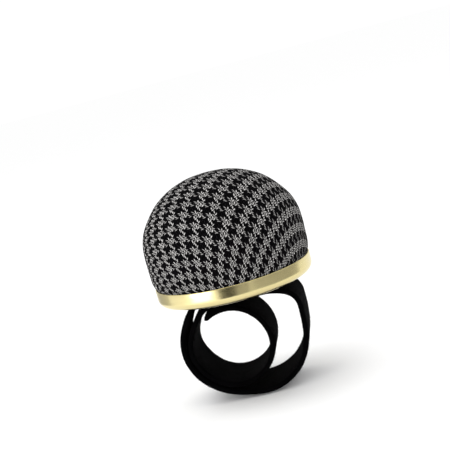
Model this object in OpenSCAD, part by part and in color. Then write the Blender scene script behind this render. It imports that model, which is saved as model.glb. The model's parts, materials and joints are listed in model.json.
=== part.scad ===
/* [Rim cup] */
// Outer radius of the metal rim cup
cup_r = 35; // [33:0.5:38]
// Height of the rim cup
cup_h = 7.8; // [7:0.1:9]
// Wall thickness of the rim cup
cup_wall = 0.8; // [0.6:0.1:1.2]
// Radius of the cup's rounded lower corner
cup_corner = 3.5; // [3:0.1:4]
// Radius of the opening in the cup's floor
floor_hole_r = 29; // [26:0.5:29.5]

/* [Cushion] */
// Widest radius of the fabric dome
dome_r = 36; // [35.5:0.1:37]
// Height of the dome above the cup's lip
dome_h = 44; // [38:0.5:50]
// Height of the widest point above the lip
dome_belly = 11; // [9:0.5:14]
// Squareness of the dome's profile, 2 is an ellipse
dome_power = 2.4; // [2:0.05:2.8]
// Thickness of the covering fabric
cover_t = 0.8; // [0.5:0.1:1]
// Thickness of the stiff disc that stops pins
guard_t = 0.8; // [0.6:0.1:1]
// Thickness of the gathering thread
thread_d = 0.8; // [0.5:0.1:0.8]

/* [Base] */
// Radius of the black base disc
disc_r = 31; // [30:0.1:31.3]
// Thickness of the black base disc
disc_t = 1.2; // [0.8:0.1:1.4]
// Radius of the rivet shanks
rivet_r = 1.5; // [1:0.1:2]
// Radius of the rivet heads
rivet_head_r = 3; // [2.5:0.1:3.5]
// Distance from the cup's floor to the strap
pad_drop = 1.3; // [1:0.1:2]

/* [Strap] */
// Width of the strap
strap_w = 30; // [24:0.5:34]
// Thickness of the velvet sleeve with the spring in it
strap_t = 2.6; // [2.4:0.1:2.6]
// Width of the spring strip
spring_w = 24; // [18:0.5:25]
// Thickness of the spring strip
spring_t = 0.3; // [0.2:0.05:0.4]
// Clearance between the strip and its pocket
pocket_gap = 0.1; // [0.05:0.05:0.2]
// Half the clearance between neighbouring links
link_gap = 0.15; // [0.1:0.01:0.2]
// Length of the sewn end past the spring
sewn_end = 3; // [2:0.5:5]

/* [Hidden] */
// Links of the outer arm from the pad to the free end: length and bend in degrees when coiled
OUTER = [
    [10, 24], [9, 64], [12, 9], [12, 25], [12, 31], [12, 30],
    [12, 14], [12, 25], [12, 30], [12, 34], [14, 28]
];
// Links of the inner arm, whose 37 degree links lie on one circle round the origin
INNER = [
    [11, 48], [11, 19], [11, 44], [11, 27], [11, 37], [11, 37],
    [11, 37], [11, 37], [11, 35], [11, 39], [10, 35]
];
// Distance from the middle of the pad to the first joint of each arm
OUTER_START = 12;
INNER_START = 8;
// The first joint of each arm stops this many degrees short of flat
DROOP = 5;
// The inner arm's link whose bend circle sets the origin
ORIGIN_LINK = 4;

$fn = 96;

// ---- Strap path, in the plane across the wrist: [x, z] with the first joint's own z at 0 ----

function radius_of(link) = link[0] / (link[1] * PI / 180);
function bend_before(arm, k) = k == 0 ? 0 : bend_before(arm, k - 1) + arm[k - 1][1];
function chord_of(link) = 2 * radius_of(link) * sin(link[1] / 2);
function heading_mid(arm, k) = -bend_before(arm, k) - arm[k][1] / 2;
function step_of(arm, k) = chord_of(arm[k]) * [cos(heading_mid(arm, k)), sin(heading_mid(arm, k))];
function joint_of(arm, start, k) =
    k == 0 ? [start, 0] : joint_of(arm, start, k - 1) + step_of(arm, k - 1);
function centre_of(arm, start, k) =
    joint_of(arm, start, k)
    + radius_of(arm[k]) * [-sin(bend_before(arm, k)), -cos(bend_before(arm, k))];
// Angle that the joint before link k turns through as the strap opens
function opening(arm, k) =
    k == 0 ? arm[0][1] / 2 - DROOP
    : k == len(arm) ? 0
    : (arm[k - 1][1] + arm[k][1]) / 2;

// The inner arm is the mirror image in X of its own path, so its centre's x changes sign
wrist = centre_of(INNER, INNER_START, ORIGIN_LINK);
strap_x = wrist[0];
strap_z = -wrist[1];

// ---- Heights of the base and the cushion above the origin ----

cup_floor = strap_z + strap_t / 2 + pad_drop;
lip_z = cup_floor + cup_h;
disc_z = cup_floor + cup_wall;
guard_z = disc_z + disc_t;
thread_z = guard_z + guard_t;
filling_z = thread_z + thread_d;
guard_r = cup_r - cup_wall - 1;
hem_hole_r = 24;
skirt_r = cup_r - cup_wall - 0.1;

// ---- Links of the strap ----

// Region of a link between its two end faces, wedge-cut on the outside of the bend so that
// the links can straighten, with the first joint at the origin and the bend centre below it
module link_region(link, open_start, open_end, back_start, back_end) {
    r = radius_of(link);
    bend = link[1];
    far = (r + strap_t) / cos(bend / 2) * 1.1;
    along = [cos(bend), -sin(bend)];
    out = [sin(bend), cos(bend)];
    last = [r * sin(bend), r * cos(bend) - r];
    start_cut = back_start + strap_t * tan(open_start / 2);
    end_cut = back_end + strap_t * tan(open_end / 2);
    polygon([
        [back_start, -strap_t],
        [back_start, 0],
        [start_cut, strap_t],
        [far * sin(bend / 2), far * cos(bend / 2) - r],
        last - end_cut * along + strap_t * out,
        last - back_end * along,
        last - back_end * along - strap_t * out
    ]);
}

// Curved bar of one link, thick across the strap and wide along Y
module link_bar(link, thick, wide, open_start, open_end, back_start, back_end) {
    r = radius_of(link);
    intersection() {
        linear_extrude(wide, center = true)
            link_region(link, open_start, open_end, back_start, back_end);
        translate([0, -r, 0]) difference() {
            cylinder(r = r + thick / 2, h = wide, center = true);
            cylinder(r = r - thick / 2, h = wide + 2, center = true);
        }
    }
}

// Stands a link of an arm in its coiled place; side is 1 for the outer arm and -1 for the inner
module place_link(arm, start, k, side) {
    p = joint_of(arm, start, k);
    translate([strap_x, 0, strap_z])
        mirror([side < 0 ? 1 : 0, 0, 0])
            translate([p[0], 0, p[1]])
                rotate([90, 0, 0])
                    rotate([0, 0, -bend_before(arm, k)])
                        children();
}

module sleeve_link(arm, start, k, side) {
    tip = k == len(arm) - 1;
    color("#141316") place_link(arm, start, k, side) difference() {
        link_bar(arm[k], strap_t, strap_w, opening(arm, k), opening(arm, k + 1), link_gap, link_gap);
        link_bar(arm[k], spring_t + 2 * pocket_gap, spring_w + 2 * pocket_gap, 0, 0,
            -1, tip ? sewn_end : -1);
    }
}

module spring_link(arm, start, k, side) {
    tip = k == len(arm) - 1;
    color("#a9adb3") place_link(arm, start, k, side)
        link_bar(arm[k], spring_t, spring_w, opening(arm, k), opening(arm, k + 1),
            link_gap, tip ? sewn_end + pocket_gap : link_gap);
}

// Flat middle of the strap, under the pad, with both ends wedge-cut on the upper side
module centre_bar(thick, wide, back) {
    half = thick / 2;
    outer_x = OUTER_START - back;
    inner_x = -INNER_START + back;
    outer_cut = half * tan(opening(OUTER, 0) / 2);
    inner_cut = half * tan(opening(INNER, 0) / 2);
    translate([strap_x, 0, strap_z]) rotate([90, 0, 0]) linear_extrude(wide, center = true)
        polygon([
            [inner_x, -half], [outer_x, -half], [outer_x, 0], [outer_x - outer_cut, half],
            [inner_x + inner_cut, half], [inner_x, 0]
        ]);
}

head_h = 0.6;
head_z = strap_z - strap_t / 2 + 0.2;
flange_h = 0.4;
flange_r = rivet_head_r - 0.5;
rivet_fit = 0.03;
rivet_spots = [for (y = [-8, 8]) [strap_x + (OUTER_START - INNER_START) / 2, y]];

module at_rivets(z) {
    for (spot = rivet_spots) translate([spot[0], spot[1], z]) children();
}

// ---- Cushion, on an upright axis through the middle of the strap ----

module on_axis(z = 0) {
    translate([strap_x, 0, z]) children();
}

// Dome profile point at a share of the way from the belly to the top, moved in by inset
function dome_point(share, inset) =
    let (
        angle = 90 * share,
        x = pow(cos(angle), 2 / dome_power),
        y = pow(sin(angle), 2 / dome_power)
    )
    [(dome_r - inset) * x, lip_z + dome_belly + (dome_h - dome_belly - inset) * y];

// Half section of the dome: a skirt that fills the cup, a belly over the lip and a full crown
module dome_section(inset, foot_z) {
    steps = 18;
    polygon(concat(
        [[0, foot_z], [skirt_r - inset, foot_z], [skirt_r - inset, lip_z + 0.4]],
        [[dome_r - inset - 0.6, lip_z + dome_belly * 0.45]],
        [for (i = [0 : steps - 1]) dome_point(i / steps, inset)],
        [[0, lip_z + dome_h - inset]]
    ));
}

module houndstooth_cover() {
    color("#8d8791") on_axis() rotate_extrude() difference() {
        dome_section(0, thread_z);
        dome_section(cover_t, filling_z);
        translate([-1, thread_z - 1]) square([hem_hole_r + 1, thread_d + 2]);
    }
}

module fibre_filling() {
    color("#e9e4da") on_axis() rotate_extrude() dome_section(cover_t, filling_z);
}

module gather_thread() {
    color("#2a272c") on_axis(thread_z + thread_d / 2)
        rotate_extrude() translate([hem_hole_r - thread_d, 0]) circle(d = thread_d, $fn = 24);
}

module needle_guard() {
    color("#c9c2b4") on_axis(guard_z) cylinder(r = guard_r, h = guard_t);
}

module rim_cup() {
    lip_r = cup_wall / 2;
    color("#c9b981") on_axis() rotate_extrude() translate([0, cup_floor]) {
        difference() {
            union() {
                square([cup_r - cup_corner, cup_h - lip_r]);
                translate([0, cup_corner]) square([cup_r, cup_h - lip_r - cup_corner]);
                intersection() {
                    translate([cup_r - cup_corner, cup_corner]) circle(r = cup_corner);
                    square([cup_r, cup_corner]);
                }
            }
            translate([-1, cup_wall]) square([cup_r - cup_corner + 1, cup_h]);
            translate([0, cup_corner]) square([cup_r - cup_wall, cup_h]);
            translate([cup_r - cup_corner, cup_corner]) circle(r = cup_corner - cup_wall);
            translate([-1, -1]) square([floor_hole_r + 1, cup_h]);
        }
        translate([cup_r - lip_r, cup_h - lip_r]) circle(r = lip_r, $fn = 32);
    }
}

// ---- Base ----

module base_disc() {
    color("#1b1a1c") difference() {
        on_axis(disc_z) cylinder(r = disc_r, h = disc_t);
        at_rivets(disc_z - 1) cylinder(r = rivet_r + rivet_fit, h = disc_t + 2);
        at_rivets(guard_z - flange_h - rivet_fit) cylinder(r = flange_r + rivet_fit, h = flange_h + 1);
    }
}

module strap_pad() {
    pad_w = OUTER_START + INNER_START - 2;
    pad_l = strap_w - 2;
    pad_z = strap_z + strap_t / 2;
    color("#232225") difference() {
        translate([strap_x + (OUTER_START - INNER_START) / 2, 0, (pad_z + disc_z) / 2])
            cube([pad_w, pad_l, disc_z - pad_z], center = true);
        at_rivets(pad_z - 1) cylinder(r = rivet_r, h = disc_z - pad_z + 2);
    }
}

// Two rivets: a flat head sunk in the strap's underside, a shank and a rolled flange on the disc
module strap_rivets() {
    color("#b4b6ba") at_rivets(0) union() {
        translate([0, 0, head_z]) cylinder(r = rivet_head_r, h = head_h);
        translate([0, 0, head_z]) cylinder(r = rivet_r, h = guard_z - head_z);
        translate([0, 0, guard_z - flange_h]) cylinder(r = flange_r, h = flange_h);
    }
}

// Holes that the rivets pass through and the seats that their heads sink into
module rivet_cuts() {
    at_rivets(strap_z - strap_t) cylinder(r = rivet_r, h = 2 * strap_t);
    at_rivets(strap_z - strap_t) cylinder(r = rivet_head_r, h = head_z + head_h - strap_z + strap_t);
}

module sleeve_centre() {
    color("#141316") difference() {
        centre_bar(strap_t, strap_w, link_gap);
        centre_bar(spring_t + 2 * pocket_gap, spring_w + 2 * pocket_gap, -1);
        rivet_cuts();
    }
}

module spring_centre() {
    color("#a9adb3") difference() {
        centre_bar(spring_t, spring_w, link_gap);
        rivet_cuts();
    }
}

houndstooth_cover();
fibre_filling();
gather_thread();
needle_guard();
rim_cup();
base_disc();
strap_pad();
strap_rivets();
sleeve_centre();
spring_centre();
for (k = [1 : len(OUTER)])
    sleeve_link(OUTER, OUTER_START, k - 1, 1);
for (k = [1 : len(OUTER)])
    spring_link(OUTER, OUTER_START, k - 1, 1);
for (k = [1 : len(INNER)])
    sleeve_link(INNER, INNER_START, k - 1, -1);
for (k = [1 : len(INNER)])
    spring_link(INNER, INNER_START, k - 1, -1);
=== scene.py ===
"""Wrist pin cushion: a houndstooth dome in a champagne metal cup on a coiled black velvet strap."""

import math

import bpy
import numpy as np
from mathutils import Matrix, Vector, noise
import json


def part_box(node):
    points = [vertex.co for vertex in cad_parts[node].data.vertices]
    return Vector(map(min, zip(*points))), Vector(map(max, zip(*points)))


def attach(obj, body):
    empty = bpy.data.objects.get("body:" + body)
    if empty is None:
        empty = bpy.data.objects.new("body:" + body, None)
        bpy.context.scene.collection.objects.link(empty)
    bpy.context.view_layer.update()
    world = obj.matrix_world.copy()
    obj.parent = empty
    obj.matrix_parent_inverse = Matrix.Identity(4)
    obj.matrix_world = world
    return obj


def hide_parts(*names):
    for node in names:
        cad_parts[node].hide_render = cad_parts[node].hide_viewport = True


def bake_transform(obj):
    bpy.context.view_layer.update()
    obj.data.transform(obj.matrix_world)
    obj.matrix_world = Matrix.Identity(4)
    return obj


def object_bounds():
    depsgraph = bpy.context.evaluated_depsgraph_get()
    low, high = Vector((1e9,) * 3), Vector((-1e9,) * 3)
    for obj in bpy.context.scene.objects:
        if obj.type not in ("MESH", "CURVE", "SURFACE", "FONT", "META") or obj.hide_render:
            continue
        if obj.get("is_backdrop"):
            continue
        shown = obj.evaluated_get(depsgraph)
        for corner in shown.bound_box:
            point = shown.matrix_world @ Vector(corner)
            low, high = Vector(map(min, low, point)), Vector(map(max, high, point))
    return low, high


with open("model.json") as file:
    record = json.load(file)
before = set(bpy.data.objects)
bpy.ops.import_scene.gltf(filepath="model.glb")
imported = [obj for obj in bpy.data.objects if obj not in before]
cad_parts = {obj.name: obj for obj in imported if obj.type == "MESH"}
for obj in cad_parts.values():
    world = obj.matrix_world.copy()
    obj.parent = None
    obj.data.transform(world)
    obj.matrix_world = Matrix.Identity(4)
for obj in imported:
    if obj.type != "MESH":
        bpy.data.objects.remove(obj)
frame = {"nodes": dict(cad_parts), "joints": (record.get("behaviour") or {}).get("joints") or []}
cad_low, cad_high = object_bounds()
MM = 0.001

# ---- Places taken from the frame ----

cup_low, cup_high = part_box("rim_cup")
AXIS_X = (cup_low.x + cup_high.x) / 2
CUP_FLOOR = cup_low.z
LIP = cup_high.z
CUP_R = (cup_high.x - cup_low.x) / 2
sleeve_low, sleeve_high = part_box("sleeve_centre")
STRAP_Z = (sleeve_low.z + sleeve_high.z) / 2
STRAP_T = sleeve_high.z - sleeve_low.z
STRAP_W = sleeve_high.y - sleeve_low.y


# ---- Small helpers ----


def new_mesh(name, verts, faces, smooth=True):
    mesh = bpy.data.meshes.new(name)
    mesh.from_pydata([tuple(v) for v in verts], [], faces)
    mesh.update()
    if smooth:
        mesh.polygons.foreach_set("use_smooth", [True] * len(mesh.polygons))
    obj = bpy.data.objects.new(name, mesh)
    bpy.context.scene.collection.objects.link(obj)
    return obj


def paint(obj, material):
    if obj.material_slots:
        for s in obj.material_slots:
            s.material = material
    else:
        obj.data.materials.append(material)


def apply_modifiers(obj):
    graph = bpy.context.evaluated_depsgraph_get()
    mesh = bpy.data.meshes.new_from_object(obj.evaluated_get(graph))
    obj.modifiers.clear()
    old = obj.data
    obj.data = mesh
    bpy.data.meshes.remove(old)


def revolve(name, profile, segments, closed=False):
    """Turns (radius, height) points about the cushion's axis; a radius of 0 gives one pole vertex."""
    verts, rings = [], []
    for r, z in profile:
        if r < 1e-7:
            rings.append([len(verts)] * segments)
            verts.append((AXIS_X, 0, z))
            continue
        rings.append(list(range(len(verts), len(verts) + segments)))
        for i in range(segments):
            a = 2 * math.pi * i / segments
            verts.append((AXIS_X + r * math.sin(a), -r * math.cos(a), z))
    faces = []
    pairs = list(zip(rings, rings[1:]))
    if closed:
        pairs.append((rings[-1], rings[0]))
    for low, high in pairs:
        for i in range(segments):
            j = (i + 1) % segments
            face = [low[i], low[j], high[j], high[i]]
            faces.append([v for n, v in enumerate(face) if v not in face[:n]])
    return new_mesh(name, verts, faces)


def smooth_profile(points, step):
    """Points along a Catmull-Rom curve through the given ones, about step apart."""
    p = [2 * np.array(points[0]) - np.array(points[1])] + [np.array(q) for q in points]
    p.append(2 * p[-1] - p[-2])
    out = []
    for a, b, c, d in zip(p, p[1:], p[2:], p[3:]):
        count = max(1, round(float(np.linalg.norm(c - b)) / step))
        for i in range(count):
            t = i / count
            out.append(
                0.5 * (2 * b + (c - a) * t + (2 * a - 5 * b + 4 * c - d) * t * t
                       + (3 * b - a - 3 * c + d) * t ** 3)
            )
    out.append(p[-2])
    return out


# ---- Node materials ----


class Shader:
    """A material with one Principled BSDF and short calls to add the nodes that feed it."""

    def __init__(self, name, **values):
        self.material = bpy.data.materials.new(name)
        self.material.use_nodes = True
        self.tree = self.material.node_tree
        self.bsdf = self.tree.nodes["Principled BSDF"]
        for key, value in values.items():
            self.bsdf.inputs[key.replace("_", " ")].default_value = value

    def node(self, kind, inputs=None, **settings):
        n = self.tree.nodes.new("ShaderNode" + kind)
        for key, value in settings.items():
            setattr(n, key, value)
        for key, value in (inputs or {}).items():
            self.put(value, n.inputs[key])
        return n

    def put(self, value, socket):
        if isinstance(value, bpy.types.NodeSocket):
            self.tree.links.new(value, socket)
        else:
            socket.default_value = value

    def math(self, operation, a, b=0.0, c=0.0):
        return self.node("Math", {0: a, 1: b, 2: c}, operation=operation).outputs[0]

    def mix(self, share, a, b):
        n = self.node("Mix", data_type="RGBA")
        self.put(share, n.inputs["Factor"])
        self.put(a, n.inputs[6])
        self.put(b, n.inputs[7])
        return n.outputs[2]

    def ramp(self, value, low, high, out_low=0.0, out_high=1.0):
        keys = {"Value": value, "From Min": low, "From Max": high}
        keys.update({"To Min": out_low, "To Max": out_high})
        return self.node("MapRange", keys).outputs["Result"]

    def noise(self, scale, detail=3.0, vector=None, stretch=None):
        vector = vector or self.node("TexCoord").outputs["Object"]
        if stretch:
            vector = self.node("Mapping", {"Vector": vector, "Scale": stretch}).outputs[0]
        keys = {"Vector": vector, "Scale": scale, "Detail": detail}
        return self.node("TexNoise", keys).outputs["Fac"]

    def bump(self, height, distance, strength=1.0):
        keys = {"Height": height, "Distance": distance, "Strength": strength}
        return self.node("Bump", keys).outputs["Normal"]

    def attribute(self, name):
        return self.node("Attribute", attribute_name=name).outputs["Vector"]

    def use(self, **sockets):
        for key, value in sockets.items():
            self.put(value, self.bsdf.inputs[key.replace("_", " ")])
        return self.material


def grey(v, tint=(1.0, 1.0, 1.0)):
    return (v * tint[0], v * tint[1], v * tint[2], 1.0)


def float_height(s, across, along, lean, slant):
    """Height of a yarn where it floats over two others: a slim rounded stroke that leans by slant."""
    middle = s.math("SUBTRACT", along, 1.0)
    leaned = s.math("MULTIPLY_ADD", s.math("MULTIPLY", middle, lean), slant, across)
    side = s.math("POWER", s.math("ABSOLUTE", s.math("MULTIPLY", leaned, 1.4)), 2.0)
    end = s.math("POWER", s.math("ABSOLUTE", middle), 3.0)
    return s.math("MAXIMUM", 0.0, s.math("SUBTRACT", 1.0, s.math("ADD", side, end)))


def houndstooth_material():
    """Two-up two-down twill of four light and four dark yarns, both ways, on the cloth attribute, with
    shade painted into the gaps between the yarns.
    """
    s = Shader("houndstooth_cloth", Roughness=0.95)
    s.bsdf.inputs["Specular IOR Level"].default_value = 0.02
    yarns = 8.0
    xyz = s.node("SeparateXYZ", {0: s.attribute("cloth")})
    shift = s.math("MULTIPLY_ADD", s.noise(700.0, 2.0), 1.0, -0.5)
    x = s.math("MULTIPLY_ADD", xyz.outputs[0], yarns, shift)
    y = s.math("MULTIPLY_ADD", xyz.outputs[1], yarns, shift)
    warp = s.math("FLOOR", x)
    weft = s.math("FLOOR", y)
    warp_dark = s.math("FLOORED_MODULO", s.math("FLOOR", s.math("DIVIDE", warp, 4.0)), 2.0)
    weft_dark = s.math("FLOORED_MODULO", s.math("FLOOR", s.math("DIVIDE", weft, 4.0)), 2.0)
    # where a crossing lies in the four-step twill: the warp is up on steps 0 and 1
    step = s.math("FLOORED_MODULO", s.math("SUBTRACT", warp, weft), 4.0)
    warp_up = s.math("LESS_THAN", step, 1.5)
    weft_up = s.math("SUBTRACT", 1.0, warp_up)
    dark = s.math("MULTIPLY_ADD", warp_up, warp_dark, s.math("MULTIPLY", weft_up, weft_dark))
    across_x = s.math("MULTIPLY_ADD", s.math("FRACT", x), 2.0, -1.0)
    across_y = s.math("MULTIPLY_ADD", s.math("FRACT", y), 2.0, -1.0)
    along_y = s.math("ADD", s.math("SUBTRACT", 1.0, step), s.math("FRACT", y))
    along_x = s.math("ADD", s.math("SUBTRACT", step, 2.0), s.math("FRACT", x))
    lean_x = s.math("MULTIPLY_ADD", s.math("FLOORED_MODULO", warp, 2.0), 2.0, -1.0)
    lean_y = s.math("MULTIPLY_ADD", s.math("FLOORED_MODULO", weft, 2.0), 2.0, -1.0)
    # the wefts lie lower, and the painted shade below darkens them as well, so that the upright strokes
    # stand out
    weft_share = s.math("MULTIPLY", weft_up, 0.62)
    height = s.math(
        "ADD",
        s.math("MULTIPLY", warp_up, float_height(s, across_x, along_y, lean_x, 0.6)),
        s.math("MULTIPLY", weft_share, float_height(s, across_y, along_x, lean_y, 0.9)),
    )
    # the plied strands of a yarn run across it at a slant
    ply = s.math("SINE", s.math("MULTIPLY", s.math("ADD", x, y), 2 * math.pi * 1.5))
    fine = s.noise(4200.0, 2.0)
    blotch = s.noise(160.0, 3.0)
    light = s.mix(fine, grey(0.50, (1.0, 0.96, 0.95)), grey(1.0, (0.98, 0.96, 0.93)))
    flecks = s.ramp(fine, 0.35, 0.75)
    black = s.mix(flecks, grey(0.0006, (1.0, 0.8, 1.1)), grey(0.022, (1.0, 0.86, 1.08)))
    # painted shade: the yarn colour fades to near black where the yarns lie low, in the gaps between
    # them and on the lower wefts, and a little along the slanting plies; the blotches vary the tone at
    # random
    painted_shade_and_blotch = s.math("MULTIPLY", height, s.ramp(blotch, 0.3, 0.7, 0.85, 1.1))
    painted_shade_and_blotch = s.math("MULTIPLY", painted_shade_and_blotch, s.math("MULTIPLY_ADD", ply, 0.12, 0.96))
    # the near-black grey is the painted shade colour in the gaps between the yarns
    colour = s.mix(painted_shade_and_blotch, grey(0.0008), s.mix(dark, light, black))
    relief = s.math("ADD", height, s.math("MULTIPLY_ADD", ply, 0.12, s.math("MULTIPLY", fine, 0.3)))
    return s.use(Base_Color=colour, Normal=s.bump(relief, 0.00022, 0.7))


def filling_material():
    s = Shader("polyester_fibre", Roughness=0.95, Sheen_Weight=0.4)
    strands = s.noise(900.0, 6.0, stretch=(1.0, 1.0, 0.2))
    colour = s.mix(strands, grey(0.62, (1.0, 0.97, 0.92)), grey(0.85))
    return s.use(Base_Color=colour, Normal=s.bump(strands, 0.0006))


def champagne_material():
    """Satin champagne metal with fine turned lines round it and a few handling marks."""
    s = Shader("champagne_metal", Metallic=1.0, Roughness=0.3)
    s.bsdf.inputs["Anisotropic"].default_value = 0.35
    lines = s.noise(260.0, 4.0, stretch=(0.25, 0.25, 22.0))
    clouds = s.noise(70.0, 3.0)
    marks = s.noise(1500.0, 5.0)
    colour = s.mix(clouds, (0.70, 0.605, 0.30, 1.0), (0.79, 0.685, 0.355, 1.0))
    colour = s.mix(s.ramp(lines, 0.35, 0.7, 0.0, 0.35), colour, (0.57, 0.49, 0.24, 1.0))
    rough = s.math("ADD", s.ramp(lines, 0.3, 0.7, 0.18, 0.26), s.ramp(marks, 0.55, 0.75, 0.0, 0.03))
    return s.use(Base_Color=colour, Roughness=rough, Normal=s.bump(lines, 0.00003, 0.15))


def velvet_material():
    """Short black pile: crushed patches and a nap that runs along the strap, with almost no sheen."""
    s = Shader("black_velvet", Roughness=0.95, Sheen_Weight=0.012, Sheen_Roughness=0.3)
    s.bsdf.inputs["Specular IOR Level"].default_value = 0.012
    s.bsdf.inputs["Sheen Tint"].default_value = (0.55, 0.52, 0.58, 1.0)
    pile = s.noise(3200.0, 3.0)
    crush = s.noise(120.0, 3.0)
    nap = s.noise(600.0, 2.0, stretch=(1.0, 0.35, 1.0))
    tone = s.math("MULTIPLY", pile, s.ramp(crush, 0.35, 0.7, 0.55, 1.25))
    colour = s.mix(tone, (0.0002, 0.0002, 0.0003, 1.0), (0.0030, 0.0028, 0.0033, 1.0))
    relief = s.math("ADD", pile, s.math("MULTIPLY", nap, 0.8))
    return s.use(Base_Color=colour, Normal=s.bump(relief, 0.00035, 0.8))


def moulded_material(name, tone, roughness):
    """Matt moulded plastic or board with a fine spark texture."""
    s = Shader(name, Roughness=roughness)
    s.bsdf.inputs["Specular IOR Level"].default_value = 0.35
    spark = s.noise(5000.0, 2.0)
    cloud = s.noise(90.0, 3.0)
    colour = s.mix(cloud, grey(tone * 0.85), grey(tone * 1.2, (1.0, 0.99, 1.02)))
    rough = s.ramp(spark, 0.3, 0.7, roughness - 0.06, roughness + 0.08)
    return s.use(Base_Color=colour, Roughness=rough, Normal=s.bump(spark, 0.00004, 0.5))


def board_material():
    s = Shader("grey_board", Roughness=0.85)
    fibre = s.noise(1400.0, 6.0, stretch=(1.0, 0.4, 1.0))
    colour = s.mix(fibre, grey(0.40, (1.0, 0.93, 0.84)), grey(0.62, (1.0, 0.95, 0.88)))
    return s.use(Base_Color=colour, Normal=s.bump(fibre, 0.00008, 0.6))


def steel_material():
    s = Shader("spring_steel", Metallic=1.0, Roughness=0.3)
    lines = s.noise(500.0, 3.0, stretch=(1.0, 14.0, 1.0))
    stain = s.noise(60.0, 3.0)
    colour = s.mix(stain, (0.52, 0.54, 0.57, 1.0), (0.66, 0.67, 0.69, 1.0))
    rough = s.ramp(lines, 0.3, 0.7, 0.24, 0.42)
    return s.use(Base_Color=colour, Roughness=rough, Normal=s.bump(lines, 0.00002, 0.4))


def thread_material():
    s = Shader("black_thread", Roughness=0.7, Sheen_Weight=0.3)
    twist = s.node("TexWave", {"Scale": 900.0, "Distortion": 1.0}, wave_type="BANDS",
                   bands_direction="DIAGONAL").outputs["Fac"]
    colour = s.mix(twist, grey(0.008), grey(0.05, (1.0, 0.95, 1.0)))
    return s.use(Base_Color=colour, Normal=s.bump(twist, 0.0001))


def floor_material():
    s = Shader("pale_floor", Roughness=0.9)
    s.bsdf.inputs["Specular IOR Level"].default_value = 0.0
    paper = s.noise(40.0, 4.0)
    colour = s.mix(paper, grey(0.92), grey(0.95))
    return s.use(Base_Color=colour, Normal=s.bump(paper, 0.0004, 0.1))


# ---- Cushion ----

# Dome outline above the lip: radius and height in mm
DOME = [(34.0, -1.2), (34.2, 0.1), (34.9, 0.9), (35.6, 2.6), (35.9, 5.5), (36.0, 10.0), (36.0, 15.0),
        (35.5, 20.0), (33.9, 25.0), (30.7, 30.0), (26.1, 35.2), (21.2, 38.8), (15.4, 41.6), (8.4, 43.5),
        (0.0, 44.0)]
SKIRT = [(24.0, -4.2), (27.0, -4.3), (31.0, -4.2), (33.2, -3.6), (33.9, -2.4)]
COVER_T = 0.8 * MM
CLOTH_TURN = math.radians(23.2)
# how far the cloth is drawn in before the simulation swells it, and the most that may move it
SWELL = 0.35 * MM
MOST_MOVE = 0.5 * MM
WARP_PITCH = 7.32 * MM
WEFT_PITCH = 5.2 * MM


def pucker(angle, drop):
    """Small pleats where the cloth is drawn in under the rim; drop is the height above the lip."""
    fade = math.exp(-max(0.0, drop) / (4.5 * MM))
    wave = math.sin(31 * angle + 1.3 * math.sin(3 * angle)) + 0.6 * math.sin(47 * angle + 2.0)
    return 0.16 * MM * fade * wave


def dome_profile():
    lift = [(r * MM, LIP + z * MM) for r, z in SKIRT + DOME]
    return smooth_profile(lift, 0.75 * MM)


def inflate(obj, pinned_below, limit):
    """Cloth simulation with pressure, its movement capped at limit; points below the lip stay put."""
    rest = np.array([v.co for v in obj.data.vertices], float)
    scale = 10.0
    obj.data.transform(Matrix.Scale(scale, 4))
    group = obj.vertex_groups.new(name="held")
    for v in obj.data.vertices:
        if v.co.z < pinned_below * scale:
            group.add([v.index], 1.0, "REPLACE")
    cloth = obj.modifiers.new("Cloth", "CLOTH")
    cloth.settings.vertex_group_mass = "held"
    cloth.settings.quality = 5
    cloth.settings.mass = 0.02
    cloth.settings.tension_stiffness = 25
    cloth.settings.compression_stiffness = 12
    cloth.settings.shear_stiffness = 6
    cloth.settings.bending_stiffness = 0.4
    cloth.settings.use_pressure = True
    cloth.settings.uniform_pressure_force = 6.0
    cloth.settings.effector_weights.gravity = 0
    cloth.collision_settings.use_collision = False
    cloth.collision_settings.use_self_collision = False
    cloth.point_cache.frame_start, cloth.point_cache.frame_end = 1, 20
    scene = bpy.context.scene
    for f in range(1, 21):
        scene.frame_set(f)
    graph = bpy.context.evaluated_depsgraph_get()
    mesh = obj.evaluated_get(graph).to_mesh()
    moved = np.array([v.co for v in mesh.vertices], float) / scale - rest
    obj.evaluated_get(graph).to_mesh_clear()
    obj.modifiers.clear()
    scene.frame_set(1)
    length = np.linalg.norm(moved, axis=1)
    share = np.minimum(1.0, limit / np.maximum(length, 1e-12))
    obj.data.vertices.foreach_set("co", (rest + moved * share[:, None]).ravel())
    obj.data.update()


def build_cover():
    profile = dome_profile()
    segments = 288
    cover = revolve("cushion_cover", profile, segments)
    for v in cover.data.vertices:
        out = Vector((v.co.x - AXIS_X, v.co.y, 0))
        angle = math.atan2(out.x, -out.y)
        above = v.co.z - LIP
        if out.length > 1e-6 and above > -2.0 * MM:
            inward = -SWELL * min(1.0, max(0.0, above / (6 * MM)))
            soft = 0.12 * MM * noise.noise(v.co * 55.0)
            v.co += out.normalized() * (pucker(angle, above) + inward + soft)
    inflate(cover, LIP + 0.3 * MM, MOST_MOVE)
    lay_cloth(cover)
    solid = cover.modifiers.new("thickness", "SOLIDIFY")
    solid.thickness, solid.offset = COVER_T, -1.0
    apply_modifiers(cover)
    paint(cover, houndstooth_material())
    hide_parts("houndstooth_cover")
    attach(cover, "cushion")


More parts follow.
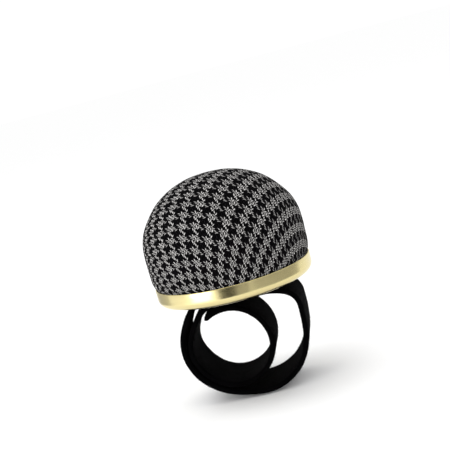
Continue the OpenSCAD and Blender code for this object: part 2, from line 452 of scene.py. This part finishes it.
def lay_cloth(obj):
    """Stores each point's place in the flat cloth, in pattern repeats, by its way from the top."""
    profile = dome_profile()
    path = np.array(profile)[::-1]
    walk = np.concatenate([[0], np.cumsum(np.linalg.norm(np.diff(path, axis=0), axis=1))])
    rings = len(profile)
    segments = (len(obj.data.vertices) - 1) // (rings - 1)
    layer = obj.data.attributes.new("cloth", "FLOAT_VECTOR", "POINT")
    values = []
    for v in obj.data.vertices:
        ring = min(v.index // segments, rings - 1)
        way = walk[rings - 1 - ring]
        angle = math.atan2(v.co.x - AXIS_X, -v.co.y) + CLOTH_TURN
        values += [way * math.sin(angle) / WARP_PITCH, way * math.cos(angle) / WEFT_PITCH, 0.0]
    layer.data.foreach_set("vector", values)


def build_filling():
    inset = COVER_T + 0.15 * MM
    points = [(0.0, -3.2), (20.0, -3.2), (30.0, -3.1), (32.4, -2.0)] + DOME[1:-1]
    profile = []
    for r, z in points:
        high = max(0.0, z) / 44.0
        profile.append((max(0.0, r * MM - inset), LIP + z * MM - inset * high))
    profile.append((0.0, LIP + 44.0 * MM - inset - 0.4 * MM))
    filling = revolve("cushion_filling", smooth_profile(profile, 1.5 * MM), 96)
    for v in filling.data.vertices:
        inwards = Vector((AXIS_X, 0, LIP)) - v.co
        v.co += inwards.normalized() * (0.35 * MM * abs(noise.noise(v.co * 220.0)))
    paint(filling, filling_material())
    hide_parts("fibre_filling")
    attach(filling, "cushion")


def build_cup():
    """Turned cup with a rolled lip, a rounded lower corner and an open floor."""
    wall, corner = 0.8 * MM, 3.5 * MM
    height = LIP - CUP_FLOOR
    lip_r = wall / 2
    outer = [(29.0 * MM, 0.0), (30.2 * MM, 0.0)]
    for i in range(13):
        a = math.pi / 2 * i / 12
        outer.append((CUP_R - corner + corner * math.sin(a), corner - corner * math.cos(a)))
    outer += [(CUP_R, 4.2 * MM), (CUP_R, 5.4 * MM), (CUP_R, height - lip_r)]
    for i in range(1, 8):
        a = math.pi * i / 8
        outer.append((CUP_R - lip_r + lip_r * math.cos(a), height - lip_r + lip_r * math.sin(a)))
    inner = [(CUP_R - wall, height - lip_r), (CUP_R - wall, corner)]
    for i in range(1, 9):
        a = math.pi / 2 * i / 8
        bend = corner - wall
        inner.append((CUP_R - corner + bend * math.cos(a), corner - bend * math.sin(a)))
    inner.append((29.0 * MM, wall))
    profile = [(r, CUP_FLOOR + z) for r, z in outer + inner]
    cup = revolve("rim_cup_metal", profile, 256, closed=True)
    mark_sharp(cup, 50)
    paint(cup, champagne_material())
    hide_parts("rim_cup")
    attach(cup, "cushion")


def mark_sharp(obj, degrees):
    """Keeps edges sharper than this angle crisp under smooth shading."""
    obj.data.set_sharp_from_angle(angle=math.radians(degrees))


# ---- Velvet strap ----


def arm_path(arm, side):
    """Each link's start, first heading, length and bend, +x along the arm, and the bodies' names."""
    names = [j for j in frame["joints"] if j["name"].startswith(arm)]
    names.sort(key=lambda j: int(j["name"].rsplit("_", 1)[1]))
    points = [np.array([side * (j["pos_m"][0] - AXIS_X), j["pos_m"][2]]) for j in names]
    links, heading = [], 0.0
    for a, b in zip(points, points[1:]):
        chord = b - a
        # the angle between the link's first heading and its chord, brought back within a turn
        half = (heading - math.atan2(chord[1], chord[0])) % (2 * math.pi)
        length = float(np.linalg.norm(chord)) * half / math.sin(half)
        links.append((a, heading, length, 2 * half))
        heading -= 2 * half
    last_length, last_bend = LAST_LINK[arm]
    links.append((points[-1], heading, last_length, math.radians(last_bend)))
    return links, [j["child"] for j in names]


# the woven backing lies this far under the CAD sleeve's surface, and the pile stands out of it
PILE = 0.12 * MM
# points across the sleeve's flat sides and round each of its edges
FLAT_POINTS = 27
EDGE_POINTS = 7
LAST_LINK = {"outer": (14.0 * MM, 28), "inner": (10.0 * MM, 35)}


def on_link(link, distance):
    """Point and heading at a distance along a link's arc."""
    start, heading, length, bend = link
    r = length / bend
    turn = distance / r
    x = r * (math.sin(-heading + turn) - math.sin(-heading))
    z = r * (math.cos(-heading + turn) - math.cos(-heading))
    return start + np.array([x, z]), heading - turn


def section():
    """The sleeve's outline as (y, height): flat over the spring, thinner towards its sewn edges."""
    half_w, half_t = STRAP_W / 2 - PILE, STRAP_T / 2 - PILE
    nose = 1.1 * MM
    edge = half_w - nose
    top = []
    for y in np.linspace(-edge, edge, FLAT_POINTS):
        share = max(0.0, (abs(y) - 11.0 * MM) / (edge - 11.0 * MM))
        top.append((float(y), float(half_t - (half_t - nose) * share ** 1.6)))
    round_edge = np.linspace(0, math.pi, EDGE_POINTS + 2)[1:-1]
    right = [(edge + nose * math.sin(a), nose * math.cos(a)) for a in round_edge]
    bottom = [(y, -t) for y, t in reversed(top)]
    left = [(-edge - nose * math.sin(a), -nose * math.cos(a)) for a in round_edge]
    return top + right + bottom + left


def build_sleeve(name, stations, side, fibres, seed):
    """Closed velvet tube over stations of (x, z, heading, distance along the strap, squeeze)."""
    outline = section()
    outline_edge = STRAP_W / 2 - 1.2 * MM
    count = len(outline)
    verts, normals = [], []
    for x, z, heading, along, squeeze in stations:
        up = Vector((-math.sin(heading), 0, math.cos(heading)))
        for y, t in outline:
            t *= squeeze
            width = 1.0 - 0.05 * (1.0 - squeeze)
            place = Vector((along * 90.0, y * 90.0, math.copysign(3.0, t)))
            bumps = 0.10 * MM * noise.noise(place * 2.2) + 0.06 * MM * noise.noise(place * 7.0)
            edge = 0.22 * MM * noise.noise(Vector((along * 500.0, math.copysign(9.0, y), 0)))
            p = Vector((x, 0, z)) + up * (t + math.copysign(bumps, t))
            p += Vector((0, 1, 0)) * (y * width)
            if abs(y) > outline_edge:
                p.y += math.copysign(edge - 0.15 * MM, y)
            verts.append(p)
            n = up * t + Vector((0, 1, 0)) * (math.copysign(MM, y) if abs(y) > outline_edge else 0.0)
            normals.append(n.normalized())
    faces = []
    rings = len(stations)
    for i in range(rings - 1):
        for j in range(count):
            k = (j + 1) % count
            faces.append([i * count + j, i * count + k, (i + 1) * count + k, (i + 1) * count + j])
    for ring in (0, rings - 1):
        loop = [ring * count + j for j in range(count)]
        faces.append(loop if ring else loop[::-1])
    body_faces = len(faces)
    add_fibres(verts, normals, faces, rings, count, stations, fibres, seed)
    out = [Vector((AXIS_X + side * p.x, p.y, p.z)) for p in verts]
    if side > 0:
        faces = [f[::-1] for f in faces]
    obj = new_mesh(name, out, faces)
    caps = (body_faces - 2, body_faces - 1)
    for c in caps:
        obj.data.polygons[c].use_smooth = False
    sharp = np.zeros(len(obj.data.edges), bool)
    cap_edges = {tuple(sorted(e)) for c in caps for e in obj.data.polygons[c].edge_keys}
    for e in obj.data.edges:
        if tuple(sorted(e.vertices)) in cap_edges:
            sharp[e.index] = True
    layer = obj.data.attributes.new("sharp_edge", "BOOLEAN", "EDGE")
    layer.data.foreach_set("value", sharp)
    return obj


def add_fibres(verts, normals, faces, rings, count, stations, fibres, seed):
    """Short tapered hairs, three-sided and closed, seeded over the tube and denser at its edges."""
    rng = np.random.default_rng(seed)
    for _ in range(fibres):
        i = int(rng.integers(0, rings - 1))
        edge_hair = rng.random() < 0.45
        j = int(rng.integers(0, count))
        if edge_hair:
            side = FLAT_POINTS if rng.random() < 0.5 else FLAT_POINTS * 2 + EDGE_POINTS
            j = (side + int(rng.integers(-6, 13))) % count
        k = (j + 1) % count
        s, t = rng.random(), rng.random()
        a = verts[i * count + j].lerp(verts[i * count + k], s)
        b = verts[(i + 1) * count + j].lerp(verts[(i + 1) * count + k], s)
        root = a.lerp(b, t)
        n = normals[i * count + j].lerp(normals[i * count + k], s)
        heading = stations[i][2]
        lay = Vector((math.cos(heading), 0, math.sin(heading)))
        tilt = lay * rng.normal(0.35, 0.55) + Vector((0, 1, 0)) * rng.normal(0, 0.55)
        way = (n.normalized() + tilt).normalized()
        length, wide = (0.22 + 0.15 * rng.random() ** 2) * MM, 0.04 * MM
        if edge_hair and rng.random() < 0.3:
            length *= 1.5 + 2.0 * rng.random()
            wide = 0.06 * MM
        side_way = way.orthogonal().normalized()
        other = way.cross(side_way)
        first = len(verts)
        root = root - way * 0.08 * MM
        for c in range(3):
            a = 2 * math.pi * c / 3
            verts.append(root + (side_way * math.cos(a) + other * math.sin(a)) * wide)
        verts.append(root + way * length)
        faces += [[first, first + 1, first + 3], [first + 1, first + 2, first + 3],
                  [first + 2, first, first + 3], [first + 2, first + 1, first]]


def stations_between(links, first, second, start_share, end_share, side):
    """Rings from a share along one link to a share along another, with their place along the strap."""
    walk = links[0][0][0]
    step = 0.8 * MM
    out = []
    for k in range(first, second + 1):
        length = links[k][2]
        a = start_share * length if k == first else 0.0
        b = end_share * length if k == second else length
        n = max(1, round((b - a) / step))
        for i in range(n + (k == second)):
            d = a + (b - a) * i / n
            p, heading = on_link(links[k], d)
            along = 0.5 + side * (walk + sum(l[2] for l in links[:k]) + d)
            out.append((p[0], p[1], heading, along, 1.0))
    return out


def tip_squeeze(stations):
    """Rounds a strap's sewn tip off over its last few millimetres."""
    end = stations[-1][3]
    rounded = []
    for x, z, h, along, _ in stations:
        left = abs(end - along) / (1.6 * MM)
        rounded.append((x, z, h, along, math.sqrt(max(0.03, 1 - max(0.0, 1 - left) ** 2))))
    return rounded


def build_arm(arm, side, material):
    links, bodies = arm_path(arm, side)
    start = links[0][0][0]
    seed = 100 if side > 0 else 200
    # from the middle part under the pad to the first link's middle
    flat = [(x, STRAP_Z, 0.0, 0.5 + side * x, 1.0) for x in np.linspace(start - 4 * MM, start, 6)[:-1]]
    first = flat + stations_between(links, 0, 0, 0.0, 0.5, side)
    spans = [("cushion", bodies[0], first)]
    for k in range(len(links) - 1):
        rings = stations_between(links, k, k + 1, 0.5, 0.5, side)
        spans.append((bodies[k], bodies[k + 1], rings))
    for n, (a, b, rings) in enumerate(spans):
        piece = build_sleeve(f"velvet_{arm}_{n + 1}", rings, side, 2300, seed + n)
        paint(piece, material)
        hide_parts(f"sleeve_{arm}_{n + 1}")
        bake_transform(piece)
    last = len(links) - 1
    rings = tip_squeeze(stations_between(links, last, last, 0.5, 1.0, side))
    tip = build_sleeve(f"velvet_{arm}_tip", rings, side, 1500, seed + 50)
    paint(tip, material)
    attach(tip, bodies[-1])
    return start


def build_strap():
    material = velvet_material()
    outer_start = build_arm("outer", 1, material)
    inner_start = build_arm("inner", -1, material)
    low, high = -inner_start + 4 * MM, outer_start - 4 * MM
    rings = [(x, STRAP_Z, 0.0, 0.5 + x, 1.0) for x in np.linspace(low, high, 16)]
    middle = build_sleeve("velvet_middle", rings, 1, 1500, 7)
    paint(middle, material)
    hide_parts("sleeve_centre")
    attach(middle, "cushion")


# ---- CAD nodes that stay ----


def finish_cad_nodes():
    steel = steel_material()
    black = moulded_material("black_plastic", 0.012, 0.5)
    paint(frame["nodes"]["base_disc"], black)
    paint(frame["nodes"]["strap_pad"], black)
    paint(frame["nodes"]["needle_guard"], board_material())
    paint(frame["nodes"]["gather_thread"], thread_material())
    for name, node in frame["nodes"].items():
        if name.startswith("spring_") or name == "strap_rivets":
            paint(node, steel)


# ---- Stage ----


def build_floor(ground):
    """Round pale floor, flat and wide enough to meet the white surround at its horizon."""
    floor = revolve("floor", [(r, ground) for r in (0.0, 0.2, 1.0, 8.0)], 96)
    paint(floor, floor_material())
    floor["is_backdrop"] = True


def add_area(name, place, target, size, power):
    light = bpy.data.lights.new(name, "AREA")
    light.shape = "RECTANGLE"
    light.size, light.size_y = size
    light.energy = power
    obj = bpy.data.objects.new(name, light)
    obj.location = place
    obj.rotation_euler = (Vector(target) - Vector(place)).to_track_quat("-Z", "Y").to_euler()
    obj.visible_camera = False
    bpy.context.scene.collection.objects.link(obj)


def around(azimuth, distance, height):
    """A place round the cushion's axis; azimuth 0 is in front, at -Y, and positive is to the right."""
    a = math.radians(azimuth)
    return Vector((AXIS_X + distance * math.sin(a), -distance * math.cos(a), height))


def add_card(name, azimuth, distance, width, height, tone):
    """Upright card standing on the floor that only reflections see."""
    a = math.radians(azimuth)
    foot = around(azimuth, distance, cad_low.z + 2 * MM)
    across = Vector((math.cos(a), math.sin(a), 0)) * width / 2
    up = Vector((0, 0, height))
    corners = [foot - across, foot + across, foot + across + up, foot - across + up]
    card = new_mesh(name, corners, [[0, 1, 2, 3]], smooth=False)
    s = Shader(name + "_card", Roughness=1.0)
    s.bsdf.inputs["Specular IOR Level"].default_value = 0.0
    paint(card, s.use(Base_Color=s.mix(s.noise(30.0), grey(tone * 0.9), grey(tone * 1.1))))
    card.visible_camera = card.visible_diffuse = card.visible_shadow = False
    card.visible_transmission = False
    card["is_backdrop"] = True


def light_scene():
    world = bpy.data.worlds.new("studio")
    world.use_nodes = True
    background = world.node_tree.nodes["Background"]
    background.inputs["Color"].default_value = (1.0, 1.0, 1.0, 1.0)
    background.inputs["Strength"].default_value = 1.06
    bpy.context.scene.world = world
    target = (AXIS_X, 0, 0.03)
    add_area("top", (-0.25, 0.05, 0.95), target, (0.7, 0.7), 3.0)
    add_area("low_window", around(-42.0, 0.26, 0.028), (AXIS_X, 0, 0.028), (0.13, 0.09), 0.20)
    # cards that only the metal cup mirrors: near black ahead, mid grey on the right and far left
    add_card("dark_front", -5.5, 0.15, 0.058, 0.12, 0.01)
    add_card("grey_front", 15.0, 0.15, 0.050, 0.12, 0.40)
    add_card("grey_right", 66.0, 0.15, 0.24, 0.12, 0.38)
    add_card("grey_left", -116.0, 0.15, 0.11, 0.12, 0.50)


def aim_camera():
    """The photograph's view: 500 mm from the cup's lip, turned 8 degrees right, 11 up, and rolled."""
    distance = 0.5
    azimuth, elevation, roll = math.radians(8.0), math.radians(11.09), math.radians(15.07)
    back = Vector((math.sin(azimuth) * math.cos(elevation), -math.cos(azimuth) * math.cos(elevation),
                   math.sin(elevation)))
    lip = Vector((AXIS_X, 0, LIP))
    place = lip + back * distance
    right = (-back).cross(Vector((0, 0, 1))).normalized()
    up = right.cross(-back)
    # what the frame's middle looks at, right of and above the lip's centre
    target = lip + right * 2.13 * MM + up * 19.46 * MM
    ahead = (target - place).normalized()
    right = ahead.cross(Vector((0, 0, 1))).normalized()
    up = right.cross(ahead)
    tilted_right = right * math.cos(roll) - up * math.sin(roll)
    tilted_up = up * math.cos(roll) + right * math.sin(roll)
    data = bpy.data.cameras.new("camera")
    data.sensor_width = 36.0
    data.lens = 90.56
    data.clip_start, data.clip_end = 0.01, 10.0
    camera = bpy.data.objects.new("camera", data)
    turn = Matrix((tilted_right, tilted_up, -ahead)).transposed()
    camera.matrix_world = Matrix.Translation(place) @ turn.to_4x4()
    bpy.context.scene.collection.objects.link(camera)
    bpy.context.scene.camera = camera


aim_camera()
build_cover()
build_filling()
build_cup()
build_strap()
finish_cad_nodes()
build_floor(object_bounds()[0].z)
light_scene()
bpy.context.scene.view_settings.view_transform = "Standard"
